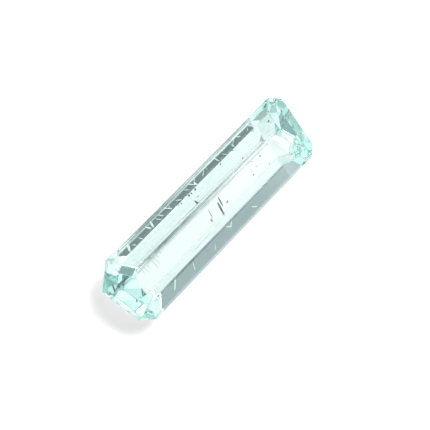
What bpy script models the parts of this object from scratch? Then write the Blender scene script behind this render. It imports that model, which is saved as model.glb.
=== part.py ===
"""A long step-cut tourmaline: one clear stone, cut facet by facet from a block of rough.

The stone is first worked out the way a cutter holds it: the table on top at height 0, the length
along X and the keel, its deepest edge, below. It is then rolled over onto the facet that it
rests on. Lengths are in millimetres here and become metres in the mesh.
"""

import math

import bmesh
import bpy
from mathutils import Matrix, Vector

MM = 0.001

# The block of rough: length, width, and how far it reaches above and below the table.
ROUGH_LENGTH = 24.0
ROUGH_WIDTH = 9.0
ROUGH_TOP = 0.5
ROUGH_BOTTOM = 5.0

# Depths below the table that all sides share.
GIRDLE_TOP = 0.64
GIRDLE_THICKNESS = 0.12
KEEL_DEPTH = 3.97

# The cutting plan, one row for each side, going round from the upper long side. A step's edge
# is level and is given by how far it lies from the middle, with its depth where sides differ.
#   facing       the way the side faces, in degrees from +X
#   table        the table's edge
#   crown_break  the edge between the two crown steps: distance and depth
#   girdle       the stone's outline
#   lower_break  the edge between the two pavilion steps: distance and depth
#   keel         where the lower pavilion step reaches the keel's depth
CUTTING_PLAN = {
    "back": dict(facing=90.3, table=2.03, crown_break=(2.39, 0.28), girdle=2.61,
                 lower_break=(1.58, 2.95), keel=-0.20),
    "far_back_corner": dict(facing=43.5, table=7.32, crown_break=(7.70, 0.31), girdle=8.00,
                            lower_break=(7.34, 2.04), keel=4.85),
    "far_end": dict(facing=-2.3, table=7.51, crown_break=(8.45, 0.30), girdle=9.18,
                    lower_break=(7.78, 3.51), keel=7.36),
    "far_front_corner": dict(facing=-44.0, table=7.02, crown_break=(7.66, 0.14), girdle=8.14,
                             lower_break=(6.76, 2.76), keel=5.27),
    "front": dict(facing=-89.3, table=1.50, crown_break=(2.78, 0.49), girdle=3.06,
                  lower_break=(1.76, 3.26), keel=0.20),
    "near_front_corner": dict(facing=-132.0, table=6.02, crown_break=(7.01, 0.24), girdle=7.39,
                              lower_break=(6.03, 3.32), keel=4.47),
    "near_end": dict(facing=-171.3, table=7.72, crown_break=(8.42, 0.10), girdle=8.72,
                     lower_break=(6.63, 3.74), keel=6.26),
    "near_back_corner": dict(facing=133.0, table=6.20, crown_break=(6.69, 0.40), girdle=6.94,
                             lower_break=(5.62, 3.12), keel=3.90),
}

# The lower pavilion steps of the two long sides face exactly across the stone, so that the keel
# between them runs level, although the sides above them are a fraction of a degree off.
KEEL_FACING = {"back": 90.0, "front": -90.0}

# The stone lies on the lower pavilion step of this side.
RESTS_ON = "front"

# The polished stone.
STONE_COLOUR = (0.66, 0.87, 0.78, 1.0)
STONE_ROUGHNESS = 0.03
STONE_METALLIC = 0.0


def clear_scene():
    for obj in list(bpy.data.objects):
        bpy.data.objects.remove(obj, do_unlink=True)


def side_profile(side):
    """A side's cutting edges from the table down to the keel, as (distance, depth)."""
    girdle_bottom = GIRDLE_TOP + GIRDLE_THICKNESS
    return [
        (side["table"], 0.0),
        side["crown_break"],
        (side["girdle"], GIRDLE_TOP),
        (side["girdle"], girdle_bottom),
        side["lower_break"],
        (side["keel"], KEEL_DEPTH),
    ]


def facet_plane(facing, upper_edge, lower_edge):
    """The plane through two level edges of one side: a point on it and its outward normal."""
    angle = math.radians(facing)
    outward = Vector((math.cos(angle), math.sin(angle), 0.0))
    out_step = lower_edge[0] - upper_edge[0]
    down_step = lower_edge[1] - upper_edge[1]
    normal = (outward * down_step + Vector((0.0, 0.0, out_step))).normalized()
    point = outward * upper_edge[0] - Vector((0.0, 0.0, upper_edge[1]))
    return point, normal


def side_facets(name):
    """The planes of all of a side's steps, from the crown down to the keel."""
    side = CUTTING_PLAN[name]
    edges = side_profile(side)
    planes = [facet_plane(side["facing"], upper, lower) for upper, lower in zip(edges[:-2], edges[1:-1])]
    keel_facing = KEEL_FACING.get(name, side["facing"])
    planes.append(facet_plane(keel_facing, edges[-2], edges[-1]))
    return planes


def cut_facet(stone, point, normal):
    """Grind away everything in front of one plane and close the stone with a flat facet."""
    everything = stone.verts[:] + stone.edges[:] + stone.faces[:]
    cut = bmesh.ops.bisect_plane(
        stone, geom=everything, dist=1e-6, plane_co=point, plane_no=normal, clear_outer=True
    )
    rim = [item for item in cut["geom_cut"] if isinstance(item, bmesh.types.BMEdge)]
    if rim:
        bmesh.ops.edgeloop_fill(stone, edges=rim)


def cut_stone():
    """The whole cut stone, table up, in millimetres."""
    stone = bmesh.new()
    height = ROUGH_TOP + ROUGH_BOTTOM
    middle = (ROUGH_TOP - ROUGH_BOTTOM) / 2
    block = Matrix.Translation((0.0, 0.0, middle)) @ Matrix.Diagonal((ROUGH_LENGTH, ROUGH_WIDTH, height, 1.0))
    bmesh.ops.create_cube(stone, size=1.0, matrix=block)
    cut_facet(stone, Vector((0.0, 0.0, 0.0)), Vector((0.0, 0.0, 1.0)))
    for name in CUTTING_PLAN:
        for point, normal in side_facets(name):
            cut_facet(stone, point, normal)
    bmesh.ops.recalc_face_normals(stone, faces=stone.faces[:])
    return stone


def lay_down(stone):
    """Roll the stone onto its resting facet and centre it over the origin."""
    _, resting_normal = side_facets(RESTS_ON)[-1]
    roll = resting_normal.rotation_difference(Vector((0.0, 0.0, -1.0))).to_matrix()
    bmesh.ops.transform(stone, matrix=roll.to_4x4(), verts=stone.verts[:])
    low = Vector([min(v.co[axis] for v in stone.verts) for axis in range(3)])
    high = Vector([max(v.co[axis] for v in stone.verts) for axis in range(3)])
    to_origin = Vector((-(low.x + high.x) / 2, -(low.y + high.y) / 2, -low.z))
    bmesh.ops.translate(stone, vec=to_origin, verts=stone.verts[:])


def polished_stone():
    material = bpy.data.materials.new("mint_tourmaline")
    material.use_nodes = True
    shader = material.node_tree.nodes["Principled BSDF"]
    shader.inputs["Base Color"].default_value = STONE_COLOUR
    shader.inputs["Roughness"].default_value = STONE_ROUGHNESS
    shader.inputs["Metallic"].default_value = STONE_METALLIC
    return material


def main():
    clear_scene()
    collection = bpy.data.collections.new("tourmaline_gemstone")
    bpy.context.scene.collection.children.link(collection)
    stone = cut_stone()
    lay_down(stone)
    bmesh.ops.scale(stone, vec=(MM, MM, MM), verts=stone.verts[:])
    mesh = bpy.data.meshes.new("gemstone")
    stone.to_mesh(mesh)
    stone.free()
    gemstone = bpy.data.objects.new("gemstone", mesh)
    gemstone.data.materials.append(polished_stone())
    collection.objects.link(gemstone)
    print("gemstone:", len(mesh.polygons), "facets, size in mm", [round(d / MM, 2) for d in gemstone.dimensions])


main()
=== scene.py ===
# %% [markdown]
# # A long step-cut tourmaline on a white table
# One clear stone lies on a facet of its pavilion, so its big flat table leans towards us.
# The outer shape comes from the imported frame. This lesson gives it a polished finish, puts the
# natural features inside it, and sets it on a glowing sheet under a light tent.

# %% Load the frame
import math
import random

import bpy
from mathutils import Matrix, Vector


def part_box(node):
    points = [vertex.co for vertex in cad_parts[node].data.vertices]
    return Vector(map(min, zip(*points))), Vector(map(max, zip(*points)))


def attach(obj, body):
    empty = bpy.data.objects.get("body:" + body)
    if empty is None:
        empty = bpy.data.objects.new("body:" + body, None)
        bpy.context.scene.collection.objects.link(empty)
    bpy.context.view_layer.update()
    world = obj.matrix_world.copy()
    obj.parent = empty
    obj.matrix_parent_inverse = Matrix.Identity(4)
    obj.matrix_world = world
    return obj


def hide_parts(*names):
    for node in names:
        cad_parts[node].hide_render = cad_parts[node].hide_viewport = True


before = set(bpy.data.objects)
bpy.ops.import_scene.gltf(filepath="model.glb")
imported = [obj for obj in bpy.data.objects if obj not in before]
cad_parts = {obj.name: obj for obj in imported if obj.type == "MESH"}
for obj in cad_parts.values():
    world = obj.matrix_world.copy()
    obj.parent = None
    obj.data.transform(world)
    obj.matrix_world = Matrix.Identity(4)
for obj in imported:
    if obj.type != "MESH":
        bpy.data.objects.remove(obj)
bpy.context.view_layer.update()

MM = 0.001
stone_low, stone_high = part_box("gemstone")
print("stone measures, in mm:", [round(side / MM, 2) for side in stone_high - stone_low])


# %% [markdown]
# ## Shader maths as expressions
# A material is a web of nodes. A small class that wraps a socket lets a mask be written as a
# line of arithmetic, and one method adds any other kind of node.

# %% A socket that does arithmetic
class Wire:
    def __init__(self, tree, socket):
        self.tree = tree
        self.socket = socket

    def node(self, kind, settings=None, values=None, output=0):
        """Add a node: its settings come first, then the values or wires of its sockets."""
        made = self.tree.nodes.new(kind)
        for name, value in (settings or {}).items():
            setattr(made, name, value)
        for name, value in (values or {}).items():
            if isinstance(value, Wire):
                self.tree.links.new(value.socket, made.inputs[name])
            else:
                made.inputs[name].default_value = value
        return Wire(self.tree, made.outputs[output])

    def maths(self, operation, first, second):
        return self.node("ShaderNodeMath", {"operation": operation}, {0: first, 1: second})

    def __add__(self, other):
        return self.maths("ADD", self, other)

    def __radd__(self, other):
        return self.maths("ADD", other, self)

    def __sub__(self, other):
        return self.maths("SUBTRACT", self, other)

    def __rsub__(self, other):
        return self.maths("SUBTRACT", other, self)

    def __mul__(self, other):
        return self.maths("MULTIPLY", self, other)

    def __rmul__(self, other):
        return self.maths("MULTIPLY", other, self)

    def vector(self, operation, other=None, output=0):
        """A Vector Math node on this wire, and on another vector where it takes two."""
        values = {0: self} if other is None else {0: self, 1: other}
        return self.node("ShaderNodeVectorMath", {"operation": operation}, values, output)

    def between(self, low, high):
        """A smooth step: 0 below low, 1 above high."""
        values = {"Value": self, "From Min": low, "From Max": high}
        return self.node("ShaderNodeMapRange", {"interpolation_type": "SMOOTHSTEP"}, values)

    def mix(self, first, second):
        """A colour between two colours: the wire is the amount of the second."""
        settings = {"data_type": "RGBA"}
        return self.node("ShaderNodeMix", settings, {0: self, 6: first, 7: second}, output=2)

    def feed(self, shader, name):
        self.tree.links.new(self.socket, shader.inputs[name])


# %% A new material, its shader and its object coordinates
def new_material(name, **constants):
    material = bpy.data.materials.new(name)
    material.use_nodes = True
    tree = material.node_tree
    shader = tree.nodes["Principled BSDF"]
    for socket, value in constants.items():
        shader.inputs[socket.replace("_", " ")].default_value = value
    place = tree.nodes.new("ShaderNodeTexCoord")
    return material, shader, Wire(tree, place.outputs["Object"])


def noise(place, size, detail=2.0, stretch=(1.0, 1.0, 1.0)):
    """Noise with blotches about as wide as size, in metres; stretch makes them longer that way."""
    scale = tuple(1.0 / (size * factor) for factor in stretch)
    scaled = place.node("ShaderNodeMapping", None, {"Vector": place, "Scale": scale})
    return scaled.node("ShaderNodeTexNoise", None, {"Vector": scaled, "Scale": 1.0, "Detail": detail})


# %% [markdown]
# ## The clear body of the stone
# Tourmaline bends light with an index of about 1.63 and soaks up a little red light on the way,
# so the long paths through the ends look a deeper mint than the short ones through the middle.
# That is a Volume Absorption node with plain values. The polish is nearly perfect: faint smudges
# from handling and the finest polishing lines show only in the roughness and in a tiny bump.
# Along the facet edges the polish is rubbed a little dull, and a grey tint there is painted shade that
# darkens the outline.

# %% Tourmaline
TOURMALINE_IOR = 1.63
ABSORPTION_DENSITY = 40.0
ABSORPTION_COLOUR = (0.36, 0.84, 0.77, 1.0)
SMUDGE_SIZE = 1.6 * MM
POLISHING_LINE = 0.05 * MM
ZONE_SIZE = 2.5 * MM


def tourmaline(name, smooth, rubbed, clean, dull):
    """Clear tourmaline that smudges roughen and that wide zones tint from clean to dull."""
    constants = {"IOR": TOURMALINE_IOR, "Transmission_Weight": 1.0}
    material, shader, place = new_material(name, **constants)
    tree = material.node_tree
    smudges = noise(place, SMUDGE_SIZE, 4.0).between(0.45, 0.75)
    lines = noise(place, POLISHING_LINE, 1.0, stretch=(40.0, 1.0, 1.0))
    (smooth + (rubbed - smooth) * smudges).feed(shader, "Roughness")
    zones = noise(place, ZONE_SIZE, 2.0, stretch=(3.0, 1.0, 1.0)).between(0.3, 0.7)
    zones.mix(clean, dull).feed(shader, "Base Color")
    bump = {"Height": lines, "Strength": 0.02, "Distance": 0.002 * MM}
    lines.node("ShaderNodeBump", None, bump).feed(shader, "Normal")
    absorb = tree.nodes.new("ShaderNodeVolumeAbsorption")
    absorb.inputs["Color"].default_value = ABSORPTION_COLOUR
    absorb.inputs["Density"].default_value = ABSORPTION_DENSITY
    tree.links.new(absorb.outputs["Volume"], tree.nodes["Material Output"].inputs["Volume"])
    return material


WHITE = (1.0, 1.0, 1.0, 1.0)
FAINT_ZONE = (0.97, 1.0, 0.985, 1.0)
PALE_EDGE = (0.85, 0.93, 0.91, 1.0)
# The grey at the rubbed edges is painted shade that darkens the stone's outline; the dullness is wear.
SHADED_GREY_EDGE = (0.55, 0.66, 0.65, 1.0)

polish = tourmaline("mint_tourmaline", 0.0, 0.012, WHITE, FAINT_ZONE)
rubbed_shaded_edge = tourmaline("mint_tourmaline_rubbed_shaded_edge", 0.08, 0.25, PALE_EDGE, SHADED_GREY_EDGE)
print("tourmaline index", TOURMALINE_IOR)


# %% [markdown]
# ## The polished stone
# The imported solid has perfectly sharp edges. A copy of it is merged into true facets, and every
# edge gets a flat bevel about two hundredths of a millimetre wide, as polishing and handling
# leave it. The bevel operator gives those slivers the rubbed edge material by itself, whose grey is painted
# shade.

# %% Edge wear on a copy of the solid
def only(piece):
    bpy.ops.object.select_all(action="DESELECT")
    piece.select_set(True)
    bpy.context.view_layer.objects.active = piece


EDGE_WEAR = 0.018 * MM
SAME_POINT = 0.001 * MM
SAME_FACET = math.radians(0.3)

only(bpy.data.objects["gemstone"])
bpy.ops.object.duplicate()
stone = bpy.context.active_object
stone.name = "polished_stone"
stone.data.materials.clear()
stone.data.materials.append(polish)
stone.data.materials.append(rubbed_shaded_edge)
bpy.ops.object.mode_set(mode="EDIT")
bpy.ops.mesh.select_all(action="SELECT")
bpy.ops.mesh.remove_doubles(threshold=SAME_POINT)
bpy.ops.mesh.dissolve_limited(angle_limit=SAME_FACET)
bpy.ops.object.mode_set(mode="OBJECT")
table = max((face for face in stone.data.polygons if face.normal.z > 0.5), key=lambda face: face.area)
table_normal = table.normal.copy()
table_middle = Vector((0.0, 0.0, table.center.dot(table_normal) / table_normal.z))
bpy.ops.object.mode_set(mode="EDIT")
bpy.ops.mesh.select_all(action="SELECT")
bpy.ops.mesh.bevel(offset=EDGE_WEAR, segments=1, affect="EDGES", material=1)
bpy.ops.object.mode_set(mode="OBJECT")
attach(stone, "root")
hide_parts("gemstone")
print("polished stone has", len(stone.data.polygons), "faces")

# %% [markdown]
# ## A frame under the table
# Everything sealed in the stone is placed the way a gemmologist maps it, looking down through
# the table: so far along the stone, so far across it, and so deep. One matrix turns those three
# numbers into a place in the stone.

# %% The table's own axes
along_table = (Vector((1.0, 0.0, 0.0)) - table_normal * table_normal.x).normalized()
across_table = table_normal.cross(along_table)
table_axes = Matrix((along_table, across_table, table_normal)).transposed().to_4x4()
TABLE_FRAME = Matrix.Translation(table_middle) @ table_axes
print("the table leans", round(math.degrees(table_normal.angle(Vector((0.0, 0.0, 1.0)))), 1), "degrees")


# %% Finish a piece where it lies
def seal_in(piece, material):
    """Put the piece's place into its mesh and finish it as part of the stone."""
    only(piece)
    bpy.ops.object.transform_apply(location=True, rotation=True, scale=True)
    piece.data.materials.append(material)
    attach(piece, "root")


def settle(piece, at, turn, lean, material):
    """Put a piece made at the origin at a place on the gemmologist's map."""
    along, across, depth = at
    place = Matrix.Translation(Vector((along, across, -depth)) * MM)
    pose = Matrix.Rotation(math.radians(turn), 4, "Z") @ Matrix.Rotation(math.radians(lean), 4, "X")
    piece.matrix_world = TABLE_FRAME @ place @ pose
    seal_in(piece, material)


# %% [markdown]
# ## Feathers and fissures
# A feather is a crack that healed, or almost healed, while the crystal grew. It is a thin ragged
# sheet, and on edge it looks like a scratch in the glass. Each one starts as a ball that is
# squeezed flat, so that its rim runs out to nothing as a crack does, and its points are pushed
# about at random to make the outline ragged. An open fissure has dark walls, broken into
# patches by noise. Lengths here are in millimetres and angles in degrees.

# %% A ragged sheet
ORIGIN = (0.0, 0.0, 0.0)


def ragged_sheet(name, length, width, thickness, seed):
    bpy.ops.object.select_all(action="DESELECT")
    bpy.ops.mesh.primitive_uv_sphere_add(segments=28, ring_count=11, radius=1.0)
    sheet = bpy.context.active_object
    sheet.name = name
    bpy.ops.object.mode_set(mode="EDIT")
    bpy.ops.mesh.select_all(action="SELECT")
    bpy.ops.transform.vertex_random(offset=0.16, uniform=0.6, normal=0.0, seed=seed)
    bpy.ops.mesh.vertices_smooth(factor=0.3)
    half = (length * MM / 2, width * MM / 2, thickness * MM / 2)
    bpy.ops.transform.resize(value=half, center_override=ORIGIN)
    bpy.ops.object.mode_set(mode="OBJECT")
    return sheet


# %% A patchy film
def patchy(name, dark, light, patch_size, cover, **constants):
    """A film broken into patches, two-toned, that covers about that share of its sheet."""
    material, shader, place = new_material(name, **constants)
    tone = noise(place, patch_size * 2, 3.0).between(0.35, 0.65)
    tone.mix(dark, light).feed(shader, "Base Color")
    threshold = (1.0 - cover) * 0.6
    film = noise(place, patch_size, 4.0).between(threshold + 0.05, threshold + 0.35)
    film.feed(shader, "Alpha")
    return material


# %% Dark fissures
dark_wall = patchy(
    "fissure_wall", (0.04, 0.08, 0.07, 1), (0.14, 0.21, 0.2, 1), 0.06 * MM, 1.0, Roughness=0.5
)
grey_wall = patchy(
    "faint_fissure_wall", (0.10, 0.16, 0.17, 1), (0.3, 0.38, 0.4, 1), 0.08 * MM, 0.55, Roughness=0.5
)
FISSURES = {
    "main_fissure": dict(
        at=(0.66, -0.69, 0.6), length=1.15, width=0.17, thickness=0.09, turn=79, lean=25, wall=dark_wall
    ),
    "second_fissure": dict(
        at=(0.97, -0.31, 0.7), length=0.8, width=0.11, thickness=0.06, turn=80, lean=25, wall=dark_wall
    ),
    "faint_fissure": dict(
        at=(-0.10, -0.39, 0.8), length=0.75, width=0.4, thickness=0.02, turn=80, lean=72, wall=grey_wall
    ),
}
for seed, (name, plan) in enumerate(FISSURES.items()):
    sheet = ragged_sheet(name, plan["length"], plan["width"], plan["thickness"], seed)
    settle(sheet, plan["at"], plan["turn"], plan["lean"], plan["wall"])
print("fissures:", len(FISSURES))

# %% [markdown]
# ## Healed feathers
# A healed feather holds a film of tiny bubbles that catches the light, so it looks bright. A real
# film sparkles because of its many small faces. One smooth sheet can't do that, so a little
# light of its own stands in for the sparkle.

# %% Bright healed feathers
FEATHER_THICKNESS = 0.02
FIRST_FEATHER_SEED = 20

healed = patchy(
    "healed_feather", (0.62, 0.80, 0.74, 1), (0.92, 1.0, 0.97, 1), 0.05 * MM, 0.8,
    Roughness=0.4, Metallic=0.6, Emission_Color=(0.75, 1.0, 0.92, 1.0), Emission_Strength=0.3
)
FEATHERS = {
    "front_feather_1": dict(at=(-5.20, -2.21, 0.6), length=0.9, width=0.25, turn=53, lean=70),
    "front_feather_2": dict(at=(-3.35, -2.26, 0.6), length=0.65, width=0.2, turn=72, lean=70),
    "front_feather_3": dict(at=(-1.35, -2.46, 0.6), length=0.4, width=0.15, turn=60, lean=65),
    "front_feather_4": dict(at=(2.65, -2.41, 0.6), length=0.45, width=0.15, turn=-45, lean=65),
    "forked_feather_left": dict(at=(0.27, -1.98, 0.5), length=0.5, width=0.2, turn=-50, lean=60),
    "forked_feather_right": dict(at=(0.53, -1.98, 0.5), length=0.5, width=0.2, turn=50, lean=60),
    "back_feather_1": dict(at=(-2.12, 2.04, 0.5), length=0.6, width=0.25, turn=-50, lean=60),
    "back_feather_2": dict(at=(0.20, 2.04, 0.5), length=0.7, width=0.25, turn=-48, lean=60),
    "back_feather_3": dict(at=(0.45, 2.04, 0.5), length=0.5, width=0.25, turn=50, lean=60),
    "back_feather_4": dict(at=(4.25, 2.04, 0.5), length=0.55, width=0.3, turn=40, lean=55),
    "back_feather_5": dict(at=(-3.65, 2.04, 0.5), length=0.5, width=0.35, turn=85, lean=55),
    "back_feather_6": dict(at=(-5.85, 2.04, 0.5), length=0.6, width=0.4, turn=75, lean=50),
}
for seed, (name, plan) in enumerate(FEATHERS.items(), start=FIRST_FEATHER_SEED):
    sheet = ragged_sheet(name, plan["length"], plan["width"], FEATHER_THICKNESS, seed)
    settle(sheet, plan["at"], plan["turn"], plan["lean"], healed)
print("feathers:", len(FEATHERS))

# %% [markdown]
# ## Small feathers along the back of the crown
# Between the large feathers lie many small ones. They are spread evenly along the stone and
# then shifted, sized and turned by a seeded draw, so that they look scattered and come out the
# same each time.

# %% Small feathers
SMALL_FEATHERS = 16
SMALL_THICKNESS = 0.015
FIRST_SMALL_SEED = 50
FIRST_PLACE = -6.3
SPACING = 0.75

feather_draw = random.Random(7)
for number in range(1, SMALL_FEATHERS + 1):
    length = feather_draw.uniform(0.2, 0.5)
    width = feather_draw.uniform(0.1, 0.25)
    sheet = ragged_sheet(
        f"small_feather_{number}", length, width, SMALL_THICKNESS, FIRST_SMALL_SEED + number
    )
    along = FIRST_PLACE + SPACING * number + feather_draw.uniform(-0.3, 0.3)
    at = (along, feather_draw.uniform(1.85, 2.15), 0.5)
    turn = feather_draw.choice((-1, 1)) * feather_draw.uniform(35, 80)
    settle(sheet, at, turn, feather_draw.uniform(45, 70), healed)
print("small feathers:", SMALL_FEATHERS)

# %% [markdown]
# ## Specks
# Tiny grains of dark mineral were already there when the crystal grew round them. A grain is a
# low ball with its points pushed out at random, so that each one is a different angular crumb.
# Each row below is a place along, across and deep, and a size, in millimetres.

# %% Mineral grains
GRAIN_SQUEEZE = (0.28, 0.48, 0.2)

grain_skin = patchy(
    "dark_mineral", (0.07, 0.08, 0.08, 1), (0.27, 0.26, 0.27, 1), 0.03 * MM, 0.85, Roughness=0.4
)
GRAINS = [
    (-0.36, -0.80, 0.6, 0.20), (-0.29, -0.71, 0.7, 0.12), (1.31, -0.66, 0.6, 0.21), (1.39, -0.59, 0.6, 0.12),
    (-0.01, 1.20, 0.6, 0.15), (-0.15, 1.25, 0.6, 0.09), (4.53, -0.30, 0.6, 0.18), (4.51, 0.18, 0.6, 0.17),
    (5.21, 0.06, 0.6, 0.24), (5.25, 0.24, 0.6, 0.15), (5.39, -0.86, 0.6, 0.22), (4.07, -0.32, 0.6, 0.15),
    (4.00, -0.61, 0.6, 0.21),
]
for number, (along, across, depth, size) in enumerate(GRAINS, start=1):
    bpy.ops.object.select_all(action="DESELECT")
    bpy.ops.mesh.primitive_ico_sphere_add(subdivisions=2, radius=1.0)
    grain = bpy.context.active_object
    grain.name = f"mineral_grain_{number}"
    bpy.ops.object.mode_set(mode="EDIT")
    bpy.ops.mesh.select_all(action="SELECT")
    bpy.ops.transform.vertex_random(offset=0.35, uniform=0.5, normal=0.5, seed=number)
    half = [size * MM * share for share in GRAIN_SQUEEZE]
    bpy.ops.transform.resize(value=half, center_override=ORIGIN)
    bpy.ops.object.mode_set(mode="OBJECT")
    settle(grain, (along, across, depth), 20 * number, 10 * number, grain_skin)
print("mineral grains:", len(GRAINS))


# %% [markdown]
# ## Growth tubes
# Hair-thin hollow tubes run through most long tourmalines, side by side along the crystal, and
# shorter hairline cracks cross them. Both are rods that taper at their ends: a thin cylinder is
# cut across twice and its end rings are drawn in.

# %% A hair that tapers at both ends
def hair(name, length, radius):
    length = length * MM
    bpy.ops.object.select_all(action="DESELECT")
    bpy.ops.mesh.primitive_cylinder_add(
        vertices=6, radius=radius * MM, depth=length, rotation=(0.0, math.pi / 2, 0.0)
    )
    rod = bpy.context.active_object
    rod.name = name
    bpy.ops.object.transform_apply(location=False, rotation=True, scale=False)
    bpy.ops.object.mode_set(mode="EDIT")
    for share in (-0.3, 0.3):
        bpy.ops.mesh.select_all(action="SELECT")
        bpy.ops.mesh.bisect(plane_co=(share * length, 0.0, 0.0), plane_no=(1.0, 0.0, 0.0))
    bpy.ops.object.mode_set(mode="OBJECT")
    for vertex in rod.data.vertices:
        vertex.select = abs(vertex.co.x) > 0.45 * length
    bpy.ops.object.mode_set(mode="EDIT")
    bpy.ops.transform.resize(value=(1.0, 0.3, 0.3))
    bpy.ops.object.mode_set(mode="OBJECT")
    return rod


# %% Tubes along the stone and cracks across it
TUBES = 12
TUBE_RADIUS = 0.009
CRACK_RADIUS = 0.02
CRACK_PLACES = (-6.2, -6.0, -5.75, -5.3, -5.05, -4.8, -4.5)

tube_wall = patchy(
    "growth_tube_wall", (0.30, 0.42, 0.44, 1), (0.7, 0.85, 0.85, 1), 0.15 * MM, 0.6, Roughness=0.4
)
crack_wall = patchy(
    "hairline_crack_wall", (0.35, 0.45, 0.48, 1), (0.75, 0.85, 0.88, 1), 0.1 * MM, 0.55, Roughness=0.4
)
hair_draw = random.Random(18)
for number in range(1, TUBES + 1):
    tube = hair(f"growth_tube_{number}", hair_draw.uniform(1.5, 4.0), TUBE_RADIUS)
    at = (hair_draw.uniform(-5.0, 4.5), hair_draw.uniform(0.3, 1.4), hair_draw.uniform(0.5, 1.3))
    settle(tube, at, hair_draw.uniform(-1.0, 1.0), 0.0, tube_wall)
for number, along in enumerate(CRACK_PLACES, start=1):
    crack = hair(f"hairline_crack_{number}", hair_draw.uniform(0.8, 1.8), CRACK_RADIUS)
    at = (along, hair_draw.uniform(0.3, 0.8), 0.6)
    settle(crack, at, 90.0 + hair_draw.uniform(-4.0, 4.0), 0.0, crack_wall)
print("hairs:", TUBES, "tubes and", len(CRACK_PLACES), "cracks")

# %% [markdown]
# ## The keel
# Seen through the table, the keel reads as one thin dark line with a soft grey gradient on one
# side. What makes the line on the real stone isn't known. Here it is drawn as a dark grey film on
# one more hair, just inside the edge, roughened along its length.

# %% Where the keel runs
keel_points = [v.co for v in stone.data.vertices if v.co.z < 0.05 * MM and v.co.y > 1.0 * MM]
keel_y = max(point.y for point in keel_points)
keel_start = min(point.x for point in keel_points)
keel_end = max(point.x for point in keel_points)
keel_middle = (keel_start + keel_end) / 2
KEEL_HAIR = (keel_end - keel_start) / MM * 0.97
KEEL_RADIUS = 0.03
print("keel runs from", round(keel_start / MM, 2), "to", round(keel_end / MM, 2), "at", round(keel_y / MM, 2))

# %% A dark line along the keel
KEEL_INSET = 0.06 * MM

keel_line_skin = patchy(
    "keel_dark_line", (0.10, 0.16, 0.15, 1), (0.34, 0.44, 0.42, 1), 0.12 * MM, 1.0, Roughness=0.6
)
keel_line = hair("keel_dark_line", KEEL_HAIR, KEEL_RADIUS)
bpy.ops.object.mode_set(mode="EDIT")
bpy.ops.mesh.select_all(action="SELECT")
bpy.ops.mesh.subdivide(number_cuts=12)
bpy.ops.transform.vertex_random(offset=0.012 * MM, seed=4)
bpy.ops.object.mode_set(mode="OBJECT")
keel_line.location = (keel_middle, keel_y - KEEL_INSET, KEEL_INSET)
seal_in(keel_line, keel_line_skin)

# %% [markdown]
# ## Painted shadow beside the keel
# The grey gradient is a painted contact shadow: a wide flat hair whose grey film fades out away from
# the keel and is broken up by a fine speckle. Like the bruises, it stands for a look whose real
# cause isn't known.

# %% A painted shadow film
SHADOW_WIDTH = 0.5 * MM


def painted_shadow_film():
    """A painted shadow: a grey film that is thickest at the keel and gone a shadow's width away from it."""
    material, shader, place = new_material("keel_painted_shadow", Roughness=0.6)
    across = place.node("ShaderNodeSeparateXYZ", None, {0: place}, output="Y")
    beside = across.between(keel_y - SHADOW_WIDTH, keel_y)
    speckle = noise(place, 0.2 * MM, 3.0, stretch=(3.0, 1.0, 1.0))
    speckle.mix((0.12, 0.19, 0.18, 1), (0.36, 0.48, 0.47, 1)).feed(shader, "Base Color")
    (beside * (0.15 + 0.35 * speckle)).feed(shader, "Alpha")
    return material


# A flat grey sheet just inside the keel: the painted contact shadow.
shadow_sheet = hair("keel_painted_shadow", KEEL_HAIR, KEEL_RADIUS)
widen = SHADOW_WIDTH / (2 * KEEL_RADIUS * MM)
bpy.ops.object.mode_set(mode="EDIT")
bpy.ops.mesh.select_all(action="SELECT")
bpy.ops.transform.resize(value=(1.0, widen, 0.8), center_override=ORIGIN)
bpy.ops.object.mode_set(mode="OBJECT")
shadow_sheet.location = (keel_middle, keel_y - 0.6 * SHADOW_WIDTH, 0.04 * MM)
seal_in(shadow_sheet, painted_shadow_film())
print("haze is", round(SHADOW_WIDTH / MM, 2), "mm wide")

# %% [markdown]
# ## The floor
# The stone lies on a sheet of white acrylic that glows from below, which is why even the floor
# under the stone is bright. The glow fades outwards. So strong a glow also washes out the soft
# contact shadow at the stone's near end, so the glow is turned down in one fixed spot there.
# That spot is a stand-in for a shadow, and it stays put whichever way the stone is lit. A hair
# of air stays between stone and sheet, as it does between any two hard things.

# %% Glowing sheet
FLOOR_SIZE = 1.2
AIR_GAP = 0.01 * MM
GLOW_EDGE = (22 * MM, 40 * MM)
GLOW_LOSS = 0.6
DIP_MIDDLE = (-8.6 * MM, -0.4 * MM, 0.0)
DIP_EDGE = (1.1 * MM, 2.3 * MM)
DIP_STRETCH = (1.0, 0.6, 1.0)
DIP_LOSS = 0.38


def white_acrylic():
    material, shader, place = new_material(
        "white_acrylic", Roughness=0.6, Base_Color=(0.35, 0.35, 0.35, 1.0), Emission_Strength=0.7
    )
    distance = place.vector("LENGTH", output="Value")
    from_dip = place.vector("SUBTRACT", DIP_MIDDLE).vector("MULTIPLY", DIP_STRETCH)
    dip = 1.0 - from_dip.vector("LENGTH", output="Value").between(*DIP_EDGE)
    glow = (1.0 - GLOW_LOSS * distance.between(*GLOW_EDGE)) * (1.0 - DIP_LOSS * dip)
    glow.mix((0.0, 0.0, 0.0, 1.0), WHITE).feed(shader, "Emission Color")
    return material


bpy.ops.object.select_all(action="DESELECT")
bpy.ops.mesh.primitive_plane_add(size=FLOOR_SIZE, location=(0.0, 0.0, -AIR_GAP))
floor = bpy.context.active_object
floor.name = "floor"
floor.data.materials.append(white_acrylic())
print("floor is", FLOOR_SIZE, "m wide")


# %% [markdown]
# ## The light tent
# A clear stone shows its surroundings: each facet is a small window onto one part of the tent.
# The tent is a world that is brighter above than at its foot. Soft round gaps and cards make
# single facets dark or bright, and one small lamp gives the sharp sparkle. Each of them is a
# patch round one direction, given by azimuth, elevation, radius and softness in degrees.

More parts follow.
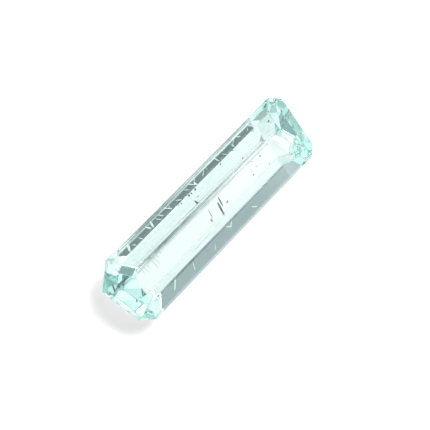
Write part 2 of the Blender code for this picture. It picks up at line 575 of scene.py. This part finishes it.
# %% Patches of the tent
world = bpy.data.worlds.new("light_tent")
bpy.context.scene.world = world
world.use_nodes = True
sky = world.node_tree
background = sky.nodes["Background"]
direction = Wire(sky, sky.nodes.new("ShaderNodeTexCoord").outputs["Generated"])


def towards(azimuth, elevation):
    flat = math.cos(math.radians(elevation))
    azimuth = math.radians(azimuth)
    return Vector((flat * math.cos(azimuth), flat * math.sin(azimuth), math.sin(math.radians(elevation))))


def round_patch(azimuth, elevation, radius, softness):
    """A round soft-edged patch of the tent: 1 inside it and 0 outside."""
    facing = direction.vector("DOT_PRODUCT", towards(azimuth, elevation), output="Value")
    outside = math.cos(math.radians(radius + softness))
    inside = math.cos(math.radians(radius))
    return facing.between(outside, inside)


# %% Tent, gaps, cards and lamp
TENT_TOP = 1.08
TENT_FOOT = 0.62
LAMP_STRENGTH = 26.0
SHADED_CLOTH = (0.72, 1.0, 1.05, 1.0)

height = direction.node("ShaderNodeSeparateXYZ", None, {0: direction}, output="Z")
tent = TENT_FOOT + (TENT_TOP - TENT_FOOT) * height.between(0.0, 0.8)
lens_gap = round_patch(-80.0, 55.0, 14.0, 3.0)
back_gap = round_patch(87.0, 27.0, 10.0, 7.0)
end_gap = round_patch(20.0, 6.0, 16.0, 10.0)
corner_gap = round_patch(-130.0, 3.0, 14.0, 10.0)
low_card = round_patch(-89.0, 19.0, 10.0, 5.0)
side_card = round_patch(-157.0, 12.0, 7.0, 5.0)
lamp = round_patch(10.0, 57.0, 9.0, 5.0)
tent = tent * (1.0 - 0.8 * lens_gap) * (1.0 - 0.42 * back_gap)
tent = tent * (1.0 - 0.4 * end_gap) * (1.0 - 0.4 * corner_gap)
tent = tent + 0.9 * low_card + 0.6 * side_card
(tent + LAMP_STRENGTH * lamp).feed(background, "Strength")
tent.between(0.2, 1.0).mix(SHADED_CLOTH, WHITE).feed(background, "Color")
print("tent strength runs from", TENT_FOOT, "to", TENT_TOP)

# %% [markdown]
# ## The camera
# The camera looks steeply down at the stone, from a little towards its near end, and is rolled
# so that the long axis climbs from lower left to upper right. The eye stays put while the aim
# is shifted, so that a chosen point of the stone lands on a chosen pixel of the picture.

# %% Camera
CAMERA_ELEVATION = 78.4
CAMERA_AZIMUTH = 179.2
CAMERA_DISTANCE = 70.25 * MM
LONG_AXIS_ANGLE = 45.2
PIXELS_PER_MM = 14.6
PICTURE = 430
AIM = Vector((-0.13, 0.20, 3.12)) * MM
AIM_PIXEL = (206, 210)

view_back = towards(CAMERA_AZIMUTH, CAMERA_ELEVATION)
view_along = (Vector((1.0, 0.0, 0.0)) - view_back * view_back.x).normalized()
view_across = view_back.cross(view_along)
roll = math.radians(LONG_AXIS_ANGLE)
right = view_along * math.cos(roll) - view_across * math.sin(roll)
up = view_along * math.sin(roll) + view_across * math.cos(roll)
eye = AIM + view_back * CAMERA_DISTANCE
pixels_right = PICTURE / 2 - AIM_PIXEL[0]
pixels_down = PICTURE / 2 - AIM_PIXEL[1]
picture_middle = AIM + (right * pixels_right - up * pixels_down) * (MM / PIXELS_PER_MM)
view_back = (eye - picture_middle).normalized()
right = up.cross(view_back).normalized()
up = view_back.cross(right)

camera_data = bpy.data.cameras.new("camera")
camera_data.lens = camera_data.sensor_width * CAMERA_DISTANCE / (PICTURE / PIXELS_PER_MM * MM)
camera_data.clip_start = 0.001
camera = bpy.data.objects.new("camera", camera_data)
bpy.context.scene.collection.objects.link(camera)
camera.matrix_world = Matrix((right, up, view_back)).transposed().to_4x4()
camera.location = eye
bpy.context.scene.camera = camera
print("lens", round(camera_data.lens, 1), "mm")

# %% [markdown]
# ## Render settings that the stone needs
# Light turns back and forth inside a cut stone many times before it gets out, and Cycles counts
# each turn as a glossy bounce. With few bounces the facets go black, so the limits are raised.

# %% Bounces and view
BOUNCES = 32

scene = bpy.context.scene
scene.view_settings.view_transform = "Standard"
scene.cycles.max_bounces = BOUNCES
scene.cycles.transmission_bounces = BOUNCES
scene.cycles.glossy_bounces = BOUNCES
print("bounces:", BOUNCES)
